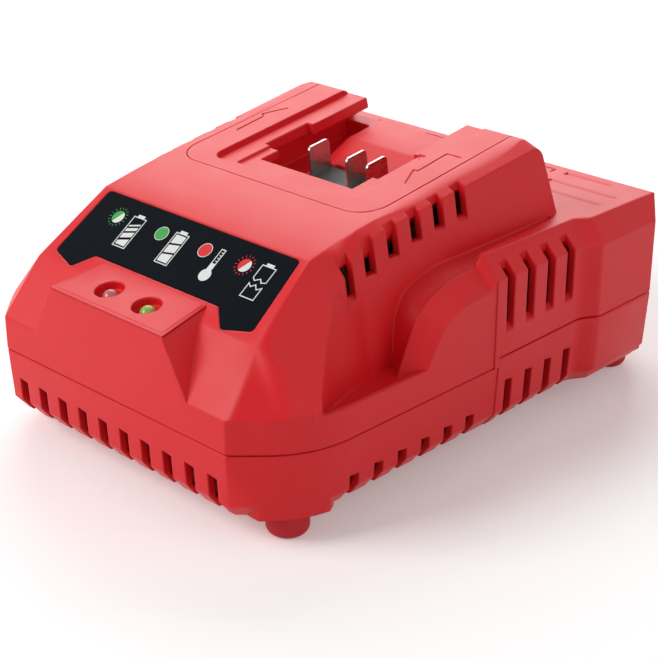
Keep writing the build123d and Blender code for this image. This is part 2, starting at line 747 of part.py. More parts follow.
# Cradle: the battery bay, dropped into the saddle from above.
with BuildPart() as cradle:
    with BuildSketch(deck_plane):
        with Locations((0, cradle_gap)):
            Rectangle(2 * cradle_half_width, deck_length + 8, align=(Align.CENTER, Align.MIN))
        fillet(vertices().group_by(Axis.Y)[0], cradle_corner - cradle_gap)
    extrude(amount=-plate_thickness)
    with BuildSketch(deck_plane):
        with Locations((0, bay_mouth_front - 2.5)):
            Rectangle(2 * tub_side, deck_length, align=(Align.CENTER, Align.MIN))
    extrude(amount=-tub_depth)
    with BuildSketch(Plane.YZ):
        with BuildLine():
            Polyline((behind(121.0), deck_height(121.0) - 1.0), (behind(126.2), apron_foot),
                     (behind(134.0), apron_foot), (behind(134.0), deck_height(121.0) - 1.0),
                     close=True)
        make_face()
    extrude(amount=cradle_half_width, both=True)

    # the sunken strip around the mouth with its lower sill
    with BuildSketch(deck_plane):
        with Locations((0, bay_rim_front)):
            Rectangle(2 * bay_rim_half_width, 90, align=(Align.CENTER, Align.MIN))
        fillet(vertices().group_by(Axis.Y)[0], bay_rim_corner)
    extrude(amount=-bay_strip_depth, mode=Mode.SUBTRACT)
    with BuildSketch(deck_plane):
        with Locations((0, bay_sill_front)):
            Rectangle(2 * bay_sill_half_width, bay_notch_front - bay_sill_front,
                      align=(Align.CENTER, Align.MIN))
    extrude(amount=-bay_sill_depth, mode=Mode.SUBTRACT)

    # the mouth, its notch and the channel to the rear
    for left, right, start, stop in (
        (bay_tongue_edge, bay_mouth_half_width, bay_mouth_front, bay_notch_front + 0.1),
        (-bay_notch_half_width, bay_notch_half_width, bay_notch_front, bay_notch_back),
        (-bay_mouth_half_width, bay_mouth_half_width, bay_notch_back - 0.1, 90.0),
    ):
        with BuildSketch(deck_plane):
            with Locations(((left + right) / 2, start)):
                Rectangle(right - left, stop - start, align=(Align.CENTER, Align.MIN))
        extrude(amount=-bay_rail_thickness - 0.5, mode=Mode.SUBTRACT)
    for start, stop, depth in ((bay_mouth_front, bay_trench_back, bay_trench_depth),
                               (bay_trench_back - 0.1, 90.0, bay_floor_depth)):
        with BuildSketch(deck_plane.offset(-bay_rail_thickness)):
            with Locations((0, start)):
                Rectangle(2 * bay_side, stop - start, align=(Align.CENTER, Align.MIN))
        extrude(amount=bay_rail_thickness - depth, mode=Mode.SUBTRACT)
    with BuildSketch(Plane.YZ):
        add(ridge_profile())
    extrude(amount=bay_ridge_half_width, both=True)

    # engraved arrows, and a small pointer between them and the bay
    for mark in arrow_marks:
        with BuildSketch(deck_plane.offset(-mark_depth)):
            with BuildLine():
                Polyline(*mark)
            trace(line_width=mark_width)
        extrude(amount=1.0, mode=Mode.SUBTRACT)
    with BuildSketch(deck_plane.offset(-bay_strip_depth - mark_depth)):
        with BuildLine():
            Polyline(*pointer_mark, close=True)
        make_face()
    extrude(amount=1.0, mode=Mode.SUBTRACT)

    # window for the terminal block
    with BuildSketch(deck_plane):
        with Locations((0, block_front - 0.2)):
            Rectangle(2 * block_half_width + 0.4, block_length + 0.4,
                      align=(Align.CENTER, Align.MIN))
    extrude(amount=-tub_depth - 1, mode=Mode.SUBTRACT)
    with BuildSketch(Plane.YZ):
        with BuildLine():
            Polyline(*saddle_back(), close=True)
        make_face()
    extrude(amount=90, both=True, mode=Mode.SUBTRACT)
    with BuildSketch(Plane.YZ):
        add(rounded_off())
    extrude(amount=90, both=True, mode=Mode.SUBTRACT)
cradle.part.label = "cradle"


# Label plate, bonded into its seat on the front slope.
with BuildPart() as label_plate:
    with BuildSketch(label_plane):
        add(label_outline())
    extrude(amount=-label_thickness)
label_plate.part.label = "label_plate"

# Feet: soft buttons with a stem that is pushed into the base.
feet = []
for name, place in zip(
    ("foot_front_right", "foot_front_left", "foot_rear_right", "foot_rear_left"), all_feet
):
    with BuildPart() as foot:
        with BuildSketch(Plane.XY):
            with Locations(place):
                Circle(foot_radius - 0.2)
        extrude(amount=base_height)
        fillet(foot.edges().group_by(Axis.Z)[0], 2.6)
        with BuildSketch(Plane.XY.offset(base_height)):
            with Locations(place):
                Circle(stem_radius)
        extrude(amount=wall + 2.4)
        chamfer(foot.edges().group_by(Axis.Z)[-1], 0.7)
    foot.part.label = name
    feet.append(foot.part)


# Indicator lamps: five millimetre domes on a small board under the pod.
lamps = []
for name, plane in zip(("led_left", "led_right"), led_planes):
    with BuildPart() as lamp:
        with BuildSketch(plane.offset(-lamp_shoulder - 1.0)):
            Circle(led_radius + 0.45)
        extrude(amount=1.0)
        with BuildSketch(plane.offset(-lamp_shoulder)):
            Circle(led_radius)
        extrude(amount=lamp_shoulder - lamp_tip_depth - led_radius)
        with Locations(plane.offset(-lamp_tip_depth - led_radius)):
            Sphere(led_radius)
    lamp.part.label = name
    lamps.append(lamp.part)

lamp_board_plane = led_plane(0.0).offset(-lamp_shoulder - 1.0)
with BuildPart() as lamp_board:
    with BuildSketch(lamp_board_plane):
        RectangleRounded(30, 11, 1.5)
    extrude(amount=-board_thickness)
lamp_board.part.label = "lamp_board"


# Contact blades, the block that holds them and their little board.
block_head_depth = bay_floor_front_depth + 0.2
block_foot_depth = tub_depth + 9.0
with BuildPart() as terminal_block:
    with BuildSketch(deck_plane.offset(-block_head_depth)):
        with Locations((0, block_front)):
            Rectangle(2 * block_half_width, block_length, align=(Align.CENTER, Align.MIN))
    extrude(amount=block_head_depth - tub_depth)
    with BuildSketch(deck_plane.offset(-tub_depth)):
        with Locations((0, block_front - 2.5)):
            Rectangle(2 * block_half_width + 6, block_length + 5, align=(Align.CENTER, Align.MIN))
    extrude(amount=tub_depth - block_foot_depth)
    with BuildSketch(deck_plane):
        with Locations(*((x, blade_front + blade_length / 2) for x in blade_places)):
            Rectangle(blade_thickness + 0.1, blade_length + 0.1)
    extrude(amount=-block_foot_depth - 1, mode=Mode.SUBTRACT)
terminal_block.part.label = "terminal_block"

with BuildPart() as terminal_board:
    with BuildSketch(deck_plane.offset(-block_foot_depth)):
        with Locations((0, block_front + block_length / 2)):
            RectangleRounded(2 * block_half_width + 8, block_length + 10, 1.5)
        with Locations(*((x, blade_front + blade_length / 2) for x in blade_places)):
            Rectangle(blade_thickness + 0.2, 3.2, mode=Mode.SUBTRACT)
    extrude(amount=-board_thickness)
terminal_board.part.label = "terminal_board"

blades = []
for name, x in zip(("blade_positive", "blade_sense", "blade_negative"), blade_places):
    with BuildPart() as blade:
        with BuildSketch(deck_plane.offset(-block_foot_depth)):
            with Locations((x, blade_front + blade_length / 2)):
                Rectangle(blade_thickness, blade_length)
        extrude(amount=block_foot_depth - blade_top_depth)
        top_edges = blade.faces().sort_by(Axis.Z)[-1].edges().filter_by(Axis.X)
        fillet(top_edges, 1.5)
        with BuildSketch(deck_plane.offset(-block_foot_depth)):
            with Locations((x, blade_front + blade_length / 2)):
                Rectangle(blade_thickness, 3.0)
        extrude(amount=-board_thickness - 1.4)
    blade.part.label = name
    blades.append(blade.part)

# Leads from the terminal board down to the main board.
leads = []
for name, x in zip(("lead_positive", "lead_sense", "lead_negative"), (-9.0, 0.0, 9.0)):
    top = deck_plane.from_local_coords((x, 41.0, -block_foot_depth - board_thickness))
    below = deck_plane.from_local_coords((x, 41.0, -block_foot_depth - board_thickness - 9.0))
    with BuildPart() as lead:
        with BuildLine() as route:
            FilletPolyline(top, below, (x, behind(113.0), 29.0), (x, behind(113.0), board_top),
                           radius=4.5)
        with BuildSketch(Plane(origin=top, z_dir=route.line % 0)):
            Circle(lead_radius)
        sweep()
    lead.part.label = name
    leads.append(lead.part)


# Main board on four pillars, let out around the two rear case pillars.
with BuildPart() as main_board:
    with BuildSketch(Plane.XY.offset(board_underside)):
        with Locations((0, behind(board_front))):
            Rectangle(2 * board_half_width, board_back - board_front,
                      align=(Align.CENTER, Align.MIN))
        fillet(vertices(), 3.0)
        with Locations(*all_case_screws):
            Circle(pillar_radius + 0.8, mode=Mode.SUBTRACT)
        with Locations(*all_board_screws):
            Circle(board_screw_radius + 0.2, mode=Mode.SUBTRACT)
    extrude(amount=board_thickness)
main_board.part.label = "main_board"

with BuildPart() as board_screws:
    with BuildSketch(Plane.XY.offset(board_top)):
        with Locations(*all_board_screws):
            Circle(2.6)
    extrude(amount=1.9)
    fillet(board_screws.edges().group_by(Axis.Z)[-1], 0.8)
    with BuildSketch(Plane.XY.offset(board_top)):
        with Locations(*all_board_screws):
            Circle(board_screw_radius)
    extrude(amount=-board_thickness - 4.4)
board_screws.part.label = "board_screws"

with BuildPart() as case_screws:
    with BuildSketch(Plane.XY.offset(head_seat)):
        with Locations(*all_case_screws):
            Circle(head_radius)
    extrude(amount=-2.4)
    fillet(case_screws.edges().group_by(Axis.Z)[0], 0.9)
    with BuildSketch(Plane.XY.offset(head_seat - 2.4)):
        with Locations(*all_case_screws):
            RegularPolygon(1.3, 6)
    extrude(amount=1.2, mode=Mode.SUBTRACT)
    with BuildSketch(Plane.XY.offset(head_seat)):
        with Locations(*all_case_screws):
            Circle(screw_radius)
    extrude(amount=screw_length)
case_screws.part.label = "case_screws"


# Mains inlet: a two-pin socket in the back wall, soldered to the board.
with BuildPart() as mains_inlet:
    with BuildSketch(Plane.XZ.offset(-behind(inlet_face))):
        with Locations((0, inlet_height)):
            RectangleRounded(inlet_width, inlet_rise, 2.0)
    extrude(amount=inlet_depth)
    with BuildSketch(Plane.XZ.offset(-behind(case_depth - 4.0))):
        with Locations((0, inlet_height)):
            Rectangle(inlet_width + 4, inlet_rise)
    extrude(amount=2.0)
    with BuildSketch(Plane.XZ.offset(-behind(inlet_face))):
        with Locations((0, inlet_height)):
            SlotOverall(15.8, 8.0)
    extrude(amount=socket_depth, mode=Mode.SUBTRACT)
    with BuildSketch(Plane.XZ.offset(-behind(inlet_face))):
        with Locations((-pin_pitch / 2, inlet_height), (pin_pitch / 2, inlet_height)):
            Circle(pin_radius)
    extrude(amount=inlet_depth + 1, mode=Mode.SUBTRACT)
mains_inlet.part.label = "mains_inlet"

pins = []
for name, x in (("inlet_pin_left", -pin_pitch / 2), ("inlet_pin_right", pin_pitch / 2)):
    with BuildPart() as pin:
        with BuildSketch(Plane.XZ.offset(-behind(inlet_face - 1.5))):
            with Locations((x, inlet_height)):
                Circle(pin_radius)
        extrude(amount=inlet_depth + 1.5)
        fillet(pin.edges().group_by(Axis.Y)[-1], 0.6)
    pin.part.label = name
    pins.append(pin.part)


# Power parts on the main board.
def upright(x, distance, sketch_height=board_top):
    return Plane(origin=(x, behind(distance), sketch_height))


with BuildPart() as transformer_core:
    with BuildSketch(Plane.XZ.offset(-behind(125.0 + 6.0))):
        with Locations((-27.0, board_top + 15.0)):
            Rectangle(35.0, 27.0)
            with GridLocations(19.0, 0, 2, 1):
                Rectangle(6.0, 18.6, mode=Mode.SUBTRACT)
    extrude(amount=12.0)
transformer_core.part.label = "transformer_core"

with BuildPart() as transformer_winding:
    with BuildSketch(upright(-27.0, 125.0, board_top + 6.0)):
        RectangleRounded(24.4, 29.0, 5.0)
        Rectangle(13.2, 12.2, mode=Mode.SUBTRACT)
    extrude(amount=18.0)
transformer_winding.part.label = "transformer_winding"

with BuildPart() as transformer_base:
    with BuildSketch(upright(-27.0, 125.0)):
        RectangleRounded(30.0, 31.0, 1.5)
    extrude(amount=1.5)
transformer_base.part.label = "transformer_base"

with BuildPart() as bulk_capacitor:
    with BuildSketch(upright(24.0, 140.0)):
        Circle(9.0)
    extrude(amount=32.0)
    fillet(bulk_capacitor.edges().group_by(Axis.Z)[-1], 1.0)
bulk_capacitor.part.label = "bulk_capacitor"

with BuildPart() as filter_capacitor:
    with BuildSketch(upright(-22.0, 160.0)):
        Rectangle(18.0, 8.5)
    extrude(amount=15.0)
    fillet(filter_capacitor.edges().filter_by(Axis.Z), 0.8)
filter_capacitor.part.label = "filter_capacitor"

output_capacitors = []
for name, distance in (("output_capacitor_front", 62.0), ("output_capacitor_rear", 75.0)):
    with BuildPart() as capacitor:
        with BuildSketch(upright(-30.0, distance)):
            Circle(5.0)
        extrude(amount=20.0)
        fillet(capacitor.edges().group_by(Axis.Z)[-1], 0.7)
    capacitor.part.label = name
    output_capacitors.append(capacitor.part)

with BuildPart() as choke:
    with BuildSketch(upright(24.0, 165.0)):
        Circle(8.5)
        Circle(3.8, mode=Mode.SUBTRACT)
    extrude(amount=9.0)
    fillet(choke.edges(), 2.0)
choke.part.label = "choke"

with BuildPart() as fuse:
    with BuildSketch(Plane.YZ.offset(40.0)):
        with Locations((behind(112.0), board_top + 2.7)):
            Circle(2.6)
    extrude(amount=10.0, both=True)
    with BuildSketch(upright(40.0, 112.0)):
        with GridLocations(14.0, 0, 2, 1):
            Rectangle(2.0, 6.4)
    extrude(amount=3.4)
fuse.part.label = "fuse"

heat_parts = []
for sink_name, chip_name, x, distance in (
    ("heatsink_input", "power_transistor", 30.0, 96.0),
    ("heatsink_output", "output_rectifier", 30.0, 66.0),
):
    with BuildPart() as heatsink:
        with BuildSketch(upright(x, distance)):
            Rectangle(38.0, 3.0)
            with Locations((0, 4.5)), GridLocations(7.0, 0, 6, 1):
                Rectangle(1.4, 8.0)
        extrude(amount=27.0)
    heatsink.part.label = sink_name
    with BuildPart() as chip:
        with BuildSketch(upright(x, distance - 1.5, board_top + 6.0)):
            Rectangle(10.2, 4.5, align=(Align.CENTER, Align.MAX))
        extrude(amount=15.5)
        with BuildSketch(upright(x, distance - 3.4)):
            with GridLocations(2.54, 0, 3, 1):
                Rectangle(0.9, 0.6)
        extrude(amount=6.0)
    chip.part.label = chip_name
    heat_parts += [heatsink.part, chip.part]

pieces = [
    upper_housing.part, lower_housing.part, cradle.part, label_plate.part, *feet, *lamps,
    lamp_board.part, terminal_block.part, terminal_board.part, *blades, *leads, main_board.part,
    board_screws.part, case_screws.part, mains_inlet.part, *pins, transformer_core.part,
    transformer_winding.part, transformer_base.part, bulk_capacitor.part, filter_capacitor.part,
    *output_capacitors, choke.part, fuse.part, *heat_parts,
]
for piece in pieces:
    export_step(piece, f"parts/{piece.label}.step")
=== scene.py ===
import bmesh
import bpy
import math
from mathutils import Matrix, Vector
from mathutils.bvhtree import BVHTree
from mathutils.kdtree import KDTree


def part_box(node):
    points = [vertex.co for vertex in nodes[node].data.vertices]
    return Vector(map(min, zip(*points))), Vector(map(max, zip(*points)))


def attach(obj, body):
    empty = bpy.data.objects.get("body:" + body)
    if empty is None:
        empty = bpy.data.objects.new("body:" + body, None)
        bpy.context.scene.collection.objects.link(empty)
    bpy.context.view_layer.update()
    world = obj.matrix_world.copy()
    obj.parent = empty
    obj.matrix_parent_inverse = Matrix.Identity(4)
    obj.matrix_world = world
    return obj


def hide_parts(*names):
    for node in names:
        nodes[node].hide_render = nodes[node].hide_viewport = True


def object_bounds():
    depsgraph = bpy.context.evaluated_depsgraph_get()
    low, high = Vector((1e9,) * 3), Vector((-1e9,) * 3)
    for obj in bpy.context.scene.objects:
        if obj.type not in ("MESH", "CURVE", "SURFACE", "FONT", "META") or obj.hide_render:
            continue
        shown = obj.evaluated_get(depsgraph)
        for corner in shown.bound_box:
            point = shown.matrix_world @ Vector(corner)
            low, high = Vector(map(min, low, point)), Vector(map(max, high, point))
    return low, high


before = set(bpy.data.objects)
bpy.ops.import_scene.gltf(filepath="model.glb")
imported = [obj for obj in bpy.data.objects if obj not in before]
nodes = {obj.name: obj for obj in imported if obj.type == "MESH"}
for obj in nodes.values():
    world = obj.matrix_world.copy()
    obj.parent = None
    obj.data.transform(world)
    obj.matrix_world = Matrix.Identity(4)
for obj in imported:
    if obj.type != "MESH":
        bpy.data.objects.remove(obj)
cadLow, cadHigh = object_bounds()
mm = 0.001


def only(piece):
    # nothing selected but this piece, which is then the active one
    bpy.ops.object.select_all(action="DESELECT")
    piece.select_set(True)
    bpy.context.view_layer.objects.active = piece


def editing(piece):
    only(piece)
    bpy.ops.object.mode_set(mode="EDIT")
    bpy.ops.mesh.select_all(action="SELECT")


def doneEditing():
    bpy.ops.object.mode_set(mode="OBJECT")


def settle(piece, name, finish, smoothAngle=35.0):
    # place goes into the mesh, then name, finish, body and material slot
    only(piece)
    bpy.ops.object.transform_apply(location=True, rotation=True, scale=True)
    bpy.ops.object.shade_smooth_by_angle(angle=math.radians(smoothAngle))
    piece.name = name
    piece.data.name = name
    piece.data.materials.clear()
    piece.data.materials.append(finish)
    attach(piece, "root")


cameraLook = {
    "place": (0.3236, -0.3400, 0.2357),
    "azimuth": 43.93,       # degrees round from looking along +Y
    "elevation": 24.69,     # degrees down
    "roll": 0.10,
    "lens": 89.75,
    "sensor": 36.0,
    "clip": 0.02,
}


def makeCamera(look):
    azimuth, elevation = math.radians(look["azimuth"]), math.radians(look["elevation"])
    bpy.ops.object.camera_add(location=look["place"])
    camera = bpy.context.object
    camera.rotation_euler = (math.pi / 2 - elevation, math.radians(look["roll"]), azimuth)
    camera.data.lens = look["lens"]
    camera.data.sensor_width = look["sensor"]
    camera.data.clip_start = look["clip"]
    bpy.context.scene.camera = camera


makeCamera(cameraLook)
print("camera set")


# noise scales are per metre; a shade is the darker tone's share of the colour
surfaceLook = {
    "flow": 28.0,           # mottling of moulded plastic
    "polish": 90.0,
    "bevelSamples": 6,
    "streaks": 6.0,         # of drawn metal, before they are stretched
    "cloud": 260.0,
    "metalShade": 0.82,
    "swirl": 700.0,         # in clear epoxy
    "clearShade": 0.9,
    "clearIndex": 1.5,
}


def shaderTree(name):
    finish = bpy.data.materials.new(name)
    finish.use_nodes = True
    tree = finish.node_tree
    shader = tree.nodes["Principled BSDF"]
    coords = tree.nodes.new("ShaderNodeTexCoord")
    return finish, tree, shader, coords


def noiseOn(tree, coords, scale, detail=2.0, roughness=0.5, stretch=None):
    noise = tree.nodes.new("ShaderNodeTexNoise")
    noise.inputs["Scale"].default_value = scale
    noise.inputs["Detail"].default_value = detail
    noise.inputs["Roughness"].default_value = roughness
    if stretch:
        mapping = tree.nodes.new("ShaderNodeMapping")
        mapping.inputs["Scale"].default_value = stretch
        tree.links.new(coords.outputs["Object"], mapping.inputs["Vector"])
        tree.links.new(mapping.outputs["Vector"], noise.inputs["Vector"])
    else:
        tree.links.new(coords.outputs["Object"], noise.inputs["Vector"])
    return noise


def rangeOf(tree, value, low, high, fromLow=0.3, fromHigh=0.7):
    node = tree.nodes.new("ShaderNodeMapRange")
    node.inputs["From Min"].default_value = fromLow
    node.inputs["From Max"].default_value = fromHigh
    node.inputs["To Min"].default_value = low
    node.inputs["To Max"].default_value = high
    tree.links.new(value, node.inputs["Value"])
    return node.outputs["Result"]


def tintOn(tree, shader, colour, shade, factor):
    # the base colour runs from a darker shade up to the colour itself
    tint = tree.nodes.new("ShaderNodeMix")
    tint.data_type = "RGBA"
    tint.inputs["A"].default_value = (*[c * shade for c in colour], 1)
    tint.inputs["B"].default_value = (*colour, 1)
    tree.links.new(factor, tint.inputs["Factor"])
    tree.links.new(tint.outputs["Result"], shader.inputs["Base Color"])


def moulded(name, colour, shade=0.97, roughness=(0.41, 0.46), grain=2600.0, depth=0.012,
            edge=0.35, gloss=0.4):
    # spark-eroded plastic: fine grain, faint flow mottling, softened edges
    finish, tree, shader, coords = shaderTree(name)
    flow = noiseOn(tree, coords, surfaceLook["flow"], detail=3.0)
    tintOn(tree, shader, colour, shade, rangeOf(tree, flow.outputs["Fac"], 0.0, 1.0))
    polish = noiseOn(tree, coords, surfaceLook["polish"], detail=2.0)
    tree.links.new(rangeOf(tree, polish.outputs["Fac"], *roughness), shader.inputs["Roughness"])
    pits = noiseOn(tree, coords, grain, detail=1.0)
    rounding = tree.nodes.new("ShaderNodeBevel")
    rounding.samples = surfaceLook["bevelSamples"]
    rounding.inputs["Radius"].default_value = edge * mm
    bump = tree.nodes.new("ShaderNodeBump")
    bump.inputs["Strength"].default_value = 1.0
    bump.inputs["Distance"].default_value = depth * mm
    tree.links.new(pits.outputs["Fac"], bump.inputs["Height"])
    tree.links.new(rounding.outputs["Normal"], bump.inputs["Normal"])
    tree.links.new(bump.outputs["Normal"], shader.inputs["Normal"])
    shader.inputs["Specular IOR Level"].default_value = gloss
    return finish


def metal(name, colour, roughness=(0.22, 0.36), brush=(400.0, 40.0, 400.0), depth=0.004):
    # drawn or plated metal, with fine streaks along one direction
    finish, tree, shader, coords = shaderTree(name)
    streaks = noiseOn(tree, coords, surfaceLook["streaks"], detail=3.0, stretch=brush)
    cloud = noiseOn(tree, coords, surfaceLook["cloud"], detail=3.0)
    factor = rangeOf(tree, cloud.outputs["Fac"], 0.0, 1.0)
    tintOn(tree, shader, colour, surfaceLook["metalShade"], factor)
    tree.links.new(rangeOf(tree, streaks.outputs["Fac"], *roughness), shader.inputs["Roughness"])
    bump = tree.nodes.new("ShaderNodeBump")
    bump.inputs["Distance"].default_value = depth * mm
    tree.links.new(streaks.outputs["Fac"], bump.inputs["Height"])
    tree.links.new(bump.outputs["Normal"], shader.inputs["Normal"])
    shader.inputs["Metallic"].default_value = 1.0
    return finish


def tinted(name, colour, roughness=0.08, clear=0.75):
    # clear or half-clear tinted epoxy
    finish, tree, shader, coords = shaderTree(name)
    swirl = noiseOn(tree, coords, surfaceLook["swirl"], detail=1.0)
    tintOn(tree, shader, colour, surfaceLook["clearShade"], swirl.outputs["Fac"])
    shader.inputs["Roughness"].default_value = roughness
    shader.inputs["Transmission Weight"].default_value = clear
    shader.inputs["IOR"].default_value = surfaceLook["clearIndex"]
    return finish


caseRed = (0.78, 0.012, 0.018)
finishes = {
    "shell": moulded("shellRed", caseRed, edge=0.8, gloss=0.34),
    "cradle": moulded("cradleRed", caseRed, grain=3000.0, edge=0.5, gloss=0.34),
    "foot": moulded("footRed", (0.62, 0.035, 0.042), roughness=(0.5, 0.62), grain=1800.0,
                    edge=0.4, gloss=0.15),
    "label": moulded("labelBlack", (0.0035, 0.0055, 0.0085), roughness=(0.22, 0.3), grain=900.0,
                     depth=0.004, edge=0.1, gloss=0.04),
    "inkWhite": moulded("inkWhite", (0.82, 0.83, 0.82), roughness=(0.3, 0.36), depth=0.003, edge=0.02),
    "inkGreen": moulded("inkGreen", (0.045, 0.39, 0.07), roughness=(0.3, 0.36), depth=0.003, edge=0.02),
    "inkRed": moulded("inkRed", (0.76, 0.016, 0.022), roughness=(0.3, 0.36), depth=0.003, edge=0.02),
    "terminalGrey": moulded("terminalGrey", (0.04, 0.052, 0.05), roughness=(0.45, 0.6), edge=0.2),
    "nickel": metal("contactNickel", (0.52, 0.50, 0.47)),
    "zinc": metal("screwZinc", (0.46, 0.47, 0.49), brush=(300.0, 300.0, 300.0)),
    "aluminium": metal("sinkAluminium", (0.60, 0.61, 0.62), brush=(300.0, 300.0, 20.0)),
    "copper": metal("chokeCopper", (0.62, 0.23, 0.08), brush=(500.0, 500.0, 60.0)),
    "lampRed": tinted("lampClearRed", (0.86, 0.22, 0.22), clear=0.35),
    "lampGreen": tinted("lampClearGreen", (0.50, 0.74, 0.10), clear=0.35),
    "board": moulded("boardTan", (0.32, 0.19, 0.07), roughness=(0.35, 0.5), edge=0.05),
    "black": moulded("mouldedBlack", (0.012, 0.012, 0.014), roughness=(0.4, 0.52), edge=0.2),
    "ferrite": moulded("ferrite", (0.05, 0.05, 0.055), roughness=(0.55, 0.7), grain=1500.0, edge=0.2),
    "tape": moulded("windingTape", (0.72, 0.50, 0.06), roughness=(0.25, 0.35), edge=0.1),
    "sleeve": moulded("capacitorSleeve", (0.02, 0.03, 0.09), roughness=(0.2, 0.3), edge=0.2),
    "film": moulded("filmYellow", (0.75, 0.48, 0.06), roughness=(0.35, 0.45), edge=0.2),
    "ceramic": moulded("fuseCeramic", (0.75, 0.74, 0.70), roughness=(0.2, 0.3), edge=0.1),
    "wireRed": moulded("wireRed", (0.55, 0.02, 0.02), roughness=(0.3, 0.4), edge=0.05),
    "wireWhite": moulded("wireWhite", (0.75, 0.75, 0.72), roughness=(0.3, 0.4), edge=0.05),
    "wireBlack": moulded("wireBlack", (0.01, 0.01, 0.012), roughness=(0.3, 0.4), edge=0.05),
}
print("finishes made")


# millimetres and degrees; a zone is a box given by distance from the middle, distance behind
# the front wall and height, and holds for the edges that lie wholly inside it
smallLook = {
    "merge": 0.01,
    "flat": 0.05,           # facets nearer to flat than this are joined
    "pair": 12.0,           # triangles nearer to flat than this become quads
    "skew": 60.0,           # and quads no more skewed than this
    "sharp": 22.0,          # folds above this are edges
    "smooth": 40.0,
    "segments": 2,
    "radius": 0.25,
    "least": 0.05,          # a rounding narrower than this is left out
    "share": 0.85,          # of the room between two roundings
    "stray": 0.4,           # how far a rounding may leave the moulding
    "zones": [],
}
bladeLook = dict(smallLook, radius=0.16, stray=0.2)
footLook = dict(smallLook, sharp=30.0, radius=0.4)
cradleLook = dict(
    smallLook, segments=3, radius=0.4, stray=0.5,
    zones=[
        {"from": (0, 122, 70), "to": (20.8, 134, 79), "radius": 0.9},                     # floor
        {"from": (18, 120, 75), "to": (30, 134, 86), "radius": 1.0},                      # rail ends
    ],
)
lowerLook = dict(
    smallLook, segments=4, radius=0.3, stray=0.6, sharp=16.0,
    zones=[
        {"from": (0, -1, 8.5), "to": (70, 186, 14.5), "radius": 1.3, "level": True},      # bevel rim
        {"from": (45, -1, 8), "to": (48, 3, 30), "radius": 5.0},                          # corner
        {"from": (44, 126, 8), "to": (70, 185, 33), "radius": 2.2},                       # rear
    ],
)
shellLook = dict(
    smallLook, segments=4, radius=0.3, stray=0.6, sharp=24.0,
    zones=[
        {"from": (3, 3, 50), "to": (13, 14.5, 59), "radius": 0.25},                       # recesses
        {"from": (0, -1, 36), "to": (34, 19, 60), "radius": 1.2},                         # pod
        {"from": (0, 12, 54), "to": (41.9, 38, 73), "radius": 0.2},                       # label seat
        {"from": (41.9, -1, 38), "to": (48, 37, 73), "radius": 4.0, "sharp": 16.0},       # slope's edge
        {"from": (41, 36, 70), "to": (44.4, 128, 87), "radius": 3.2, "sharp": 16.0},      # crown's edge
        {"from": (0, -1, 38.5), "to": (48, 1, 40.5), "radius": 4.0, "sharp": 16.0},       # nose
        {"from": (45, -1, 28), "to": (48, 3, 41), "radius": 5.0, "sharp": 16.0},          # corner
        {"from": (58.3, 87, 60), "to": (59.5, 129, 63), "radius": 1.5},                   # arm
        {"from": (44, 52, 36), "to": (66, 90, 63), "radius": 0.7, "sharp": 35.0},         # fender
        {"from": (50, 128, 48), "to": (70, 169, 63), "radius": 2.5, "sharp": 16.0},       # deck's side
        {"from": (0, 166, 58), "to": (60, 170, 62), "radius": 6.0, "sharp": 16.0},        # crest
        {"from": (0, 160, 48), "to": (70, 185, 58), "radius": 2.5, "sharp": 16.0},        # back
        {"from": (44, 126, 28), "to": (70, 185, 58), "radius": 2.2, "sharp": 16.0},       # rear corners
        {"from": (0, 126, 60), "to": (56, 134, 64), "radius": 1.0},                       # saddle's foot
        {"from": (50, 14, 33), "to": (66, 67, 41), "radius": 0.5},                        # lip
    ],
)
roundingLook = {
    "alone": 0.8,           # share of a face beside an edge that isn't rounded
    "bent": 1.0,            # a fold above this isn't flat
    "inner": 270.0,         # a corner that turns further than this has come round to an inner edge
    "straight": 174.6,      # a corner above this is a straight run
    "strayReach": 2.0,      # how near a stray point an edge has to be to be rounded less
    "strayGrowth": 2.0,     # and more by this share of how far the point strays
    "tiny": 0.01,           # faces smaller than this, in square millimetres, may turn over
    "over": 0.1,            # a face has turned over where its normal agrees less than this
    "overReach": 1.2,
    "fold": 172.0,          # an outline that turns more than this is folded
    "foldRun": 0.02,
    "foldReach": 0.4,
    "lessen": 0.4,
    "drop": 0.3,            # a rounding narrower than this is dropped rather than lessened
    "level": 0.4,           # a level edge rises less than this, for its length
}


def edgeGap(a, b, c, d):
    # shortest way between two straight runs that don't cross
    def reach(point, start, end):
        run = end - start
        along = max(0.0, min(1.0, (point - start).dot(run) / max(run.length_squared, 1e-16)))
        return (start + run * along - point).length
    return min(reach(a, c, d), reach(b, c, d), reach(c, a, b), reach(d, a, b))


def cornerRoom(edge, vert, corner, hard, bends):
    # how wide a rounding the edges round this corner leave room for
    look = roundingLook
    current, turn, softs = edge, 0.0, []
    while True:
        turn += corner.calc_angle() if corner.is_convex else 2 * math.pi - corner.calc_angle()
        beside = corner.link_loop_prev.edge if corner.edge == current else corner.edge
        length = beside.calc_length()
        if beside in hard or turn > math.radians(look["inner"]):
            break
        softs.append((length * abs(math.sin(turn)), bends[beside] > math.radians(look["bent"])))
        following = [loop for loop in vert.link_loops if loop != corner
                     and beside in (loop.edge, loop.link_loop_prev.edge)]
        current, corner = beside, following[0]
    if len(softs) == 1:
        return softs[0][0]
    if any(bent for slide, bent in softs):
        return min(slide for slide, bent in softs)
    if turn > math.radians(look["straight"]):
        return math.inf
    return min(edge.calc_length(), length) * math.tan(turn / 2)


